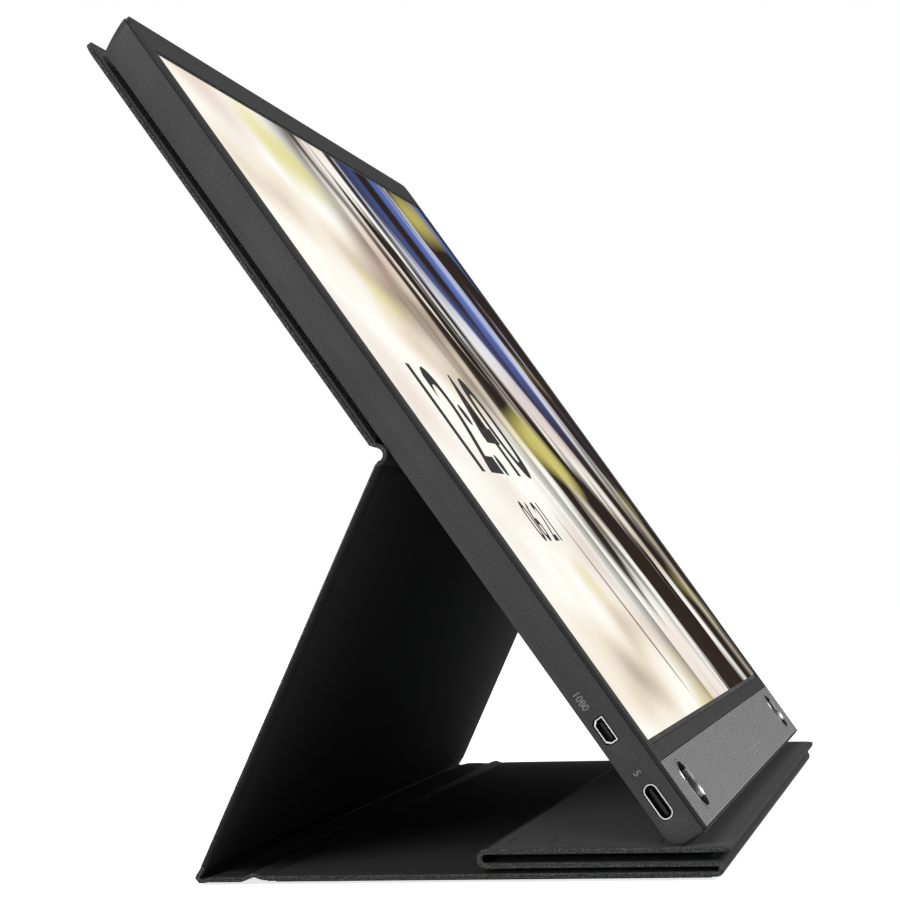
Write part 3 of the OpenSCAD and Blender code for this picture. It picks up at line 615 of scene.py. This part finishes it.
def drawn(place, scale, detail=1.0, rough=0.5, twist=0.0):
    """Noise drawn over the picture, in units of its width and height."""
    made = add(tree, "TexNoise",
               {"Scale": scale, "Detail": detail, "Roughness": rough, "Distortion": twist},
               {"Vector": place.outputs[0]})
    return made.outputs["Fac"]


def smooth(value, low, high):
    return spread(tree, value, low, high, kind="SMOOTHSTEP")


def both_of(first, second, kind="MULTIPLY"):
    return add(tree, "Math", {"operation": kind}, {0: first, 1: second}).outputs[0]


place = add(tree, "TexCoord")
low_corner = on_monitor(picture_v, picture_out)
low_left = (-picture_w / 2 * mm, (low_corner[0] - mid_y) * mm, low_corner[1] * mm)
flat = add(tree, "Mapping",
           {"vector_type": "TEXTURE", "Location": low_left, "Rotation": (tilt, 0, 0),
            "Scale": (picture_w * mm, picture_h * mm, 1)}, {"Vector": place.outputs["Object"]})
split = add(tree, "SeparateXYZ", {}, {"Vector": flat.outputs[0]})
across, rise = split.outputs["X"], split.outputs["Y"]
slant = add(tree, "Math", {"operation": "MULTIPLY_ADD", 1: 0.16}, {0: rise, 2: across}).outputs[0]
stretch = add(tree, "CombineXYZ", {"Z": 0.0}, {"X": slant, "Y": rise})
streak = add(tree, "Mapping", {"Scale": (9.0, 0.75, 1)}, {"Vector": stretch.outputs[0]})
bars = drawn(streak, 1.0, 5.0, 0.55, 0.25)
veil = drawn(stretch, 2.3, 2.0, 0.45)
warm = ramped(tree, veil, (0.32, "#ab9a88"), (0.47, "#fffef6"), (0.41, "#f4e9d7"))
rosy = mixed(tree, spread(tree, drawn(flat, 2.9), 0.5, 0.66, 0.0, 0.55), warm, linear("#d8b9ab"))
heavy_map = add(tree, "Mapping", {"Scale": (4.2, 0.55, 1), "Location": (3.1, 0.4, 0)},
                {"Vector": stretch.outputs[0]})
thick = smooth(drawn(heavy_map, 1.0, 3.0, 0.5, 0.7), 0.6, 0.53)
thin = smooth(bars, 0.51, 0.44)
dark_share = both_of(both_of(thick, thin, "MAXIMUM"), smooth(slant, 0.4, 0.6))
umber = mixed(tree, veil, linear("#0d0b0a"), linear("#3c2d24"))
darkened = mixed(tree, dark_share, rosy, umber)
hair_map = add(tree, "Mapping", {"Scale": (46.0, 1.3, 1)}, {"Vector": stretch.outputs[0]})
hair = spread(tree, drawn(hair_map, 1.0), 0.66, 0.7, 0.0, 0.8)
hair_share = both_of(both_of(hair, smooth(rise, 0.62, 0.35)), smooth(across, 0.22, 0.42))
lined = mixed(tree, hair_share, darkened, linear("#2a221c"))
sky = both_of(smooth(across, 0.5, 0.9), smooth(rise, 0.4, 0.85))
blue = mixed(tree, both_of(sky, spread(tree, bars, 0.44, 0.54)), lined, linear("#5f79c9"))
spots = spread(tree, drawn(stretch, 3.4), 0.58, 0.7, 0.0, 0.75)
yellow = mixed(tree, spots, blue, linear("#e0d474"))
glow = add(tree, "Emission", {"Strength": 1.0}, {"Color": yellow})
gloss = add(tree, "BsdfGlossy", {"Color": (0.03, 0.03, 0.03, 1), "Roughness": 0.25})
both = add(tree, "AddShader", {}, {0: glow.outputs[0], 1: gloss.outputs[0]})
add(tree, "OutputMaterial", {}, {"Surface": both.outputs[0]})
dress("lcd_picture", lit)


numerals_t, stroke = 0.01, 0.012


def numerals(name, words, size, place, material):
    """Plain numerals laid flat in the plane of the given place, their left foot at its origin."""
    bpy.ops.object.select_all(action="DESELECT")
    bpy.ops.object.text_add(location=(0, 0, 0))
    piece = bpy.context.object
    piece.name = name
    piece.data.body = words
    piece.data.size = size * mm
    piece.data.extrude = numerals_t * mm
    piece.data.offset = stroke * size * mm
    bpy.ops.object.convert(target="MESH")
    piece = bpy.context.object
    piece.data.materials.clear()
    piece.data.materials.append(material)
    piece.matrix_world = place
    bpy.ops.object.transform_apply(location=True, rotation=True, scale=True)
    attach(piece, "monitor")
    return piece


def on_screen(left, foot):
    """A place in the picture, so far from its left edge and up the monitor."""
    y, z = on_monitor(foot, numerals_out)
    place = Matrix.Translation(((left - picture_w / 2) * mm, (y - mid_y) * mm, z * mm))
    return place @ Matrix.Rotation(tilt, 4, "X")


def on_left_side(v, w):
    """A place on the monitor's left side, its lines running down the side and their tops to the front."""
    y, z = on_monitor(v, w)
    axes = Matrix(((0, 0, -1, 0),
                   (-math.cos(tilt), -math.sin(tilt), 0, 0),
                   (-math.sin(tilt), math.cos(tilt), 0, 0),
                   (0, 0, 0, 1)))
    return Matrix.Translation((-body_w / 2 * mm, (y - mid_y) * mm, z * mm)) @ axes


ink = moulded("dark_pixels", "#030303", "#060606", 0.5, 0.6, 0.0)
numerals("picture_clock", "12:40", 46, on_screen(34, 100), ink)
numerals("picture_date", "06 21", 17, on_screen(64, 79), ink)
white_ink = moulded("pale_grey_print", "#6e6e6e", "#909090", 0.4, 0.6, 0.0)
numerals("print_by_video_socket", "1080", 2.4, on_left_side(41.8, 1.7), white_ink)
numerals("print_by_usb_socket", "5", 2.4, on_left_side(19.8, 2.6), white_ink)

# What lights the screen, in order behind it: diffuser films, light guide with its row of lamps,
# white reflector and a pressed steel pan. They are shut in by the case.
film = moulded("frosted_polyester_film", "#dcdcd8", "#eeeeea", 0.4, 0.5, 0.05)
steel = plated("zinc_plated_sheet", "#a9adb1", 0.34, 0.9)
for name in ("diffuser_films", "light_guide", "led_bar", "reflector_sheet"):
    dress(name, film)
dress("lcd_back_pan", steel)
dress("case_screws", steel)

# Boards and cells. Glass-epoxy boards under a green mask with black chips, a flat cable between
# them, and two pouch cells in dull foil.
mask_green = moulded("green_solder_mask", "#174a30", "#1f5c3c", 0.9, 0.35, 0.08)
cable = moulded("polyimide_flat_cable", "#b98a3a", "#c99b4b", 0.7, 0.35, 0.05)
foil = moulded("laminated_foil_pouch", "#3a4654", "#4a5866", 1.2, 0.4, 0.3)
for name in ("main_board", "panel_board", "button_board"):
    dress(name, mask_green)
dress("board_chips", black_plastic)
dress("display_ribbon", cable)
dress("battery_left", foil)
dress("battery_right", foil)

# Sockets. Drawn steel shells, bright where they meet the case and black inside, that black being painted
# shade; round black tongues; the earphone socket is black plastic.
bright_lip = moulded("bead_blasted_nickel", "#e4e4e4", "#ffffff", 0.4, 0.4, 0.05)
for name, node in (("usb_socket_shell", "usb_shell"), ("video_socket_shell", "video_shell")):
    shell = softened(name, node, "monitor", black_plastic, 0.05)
    shell.data.materials.append(bright_lip)
    for face in shell.data.polygons:
        if face.normal.x < -0.4:
            face.material_index = 1
for name in ("usb_tongue", "video_tongue", "audio_jack"):
    dress(name, black_plastic)

# Keys and lamp in the right side: three moulded keys and a clear light pipe.
key_plastic = moulded("eroded_key_abs", "#333335", "#454548", 0.3, 0.5, 0.35)
for name, body in (("power", "power_key"), ("menu", "menu_key"), ("select", "select_key")):
    softened(name + "_key_cap", name + "_button", body, key_plastic, 0.2)
dress("status_lens", film)
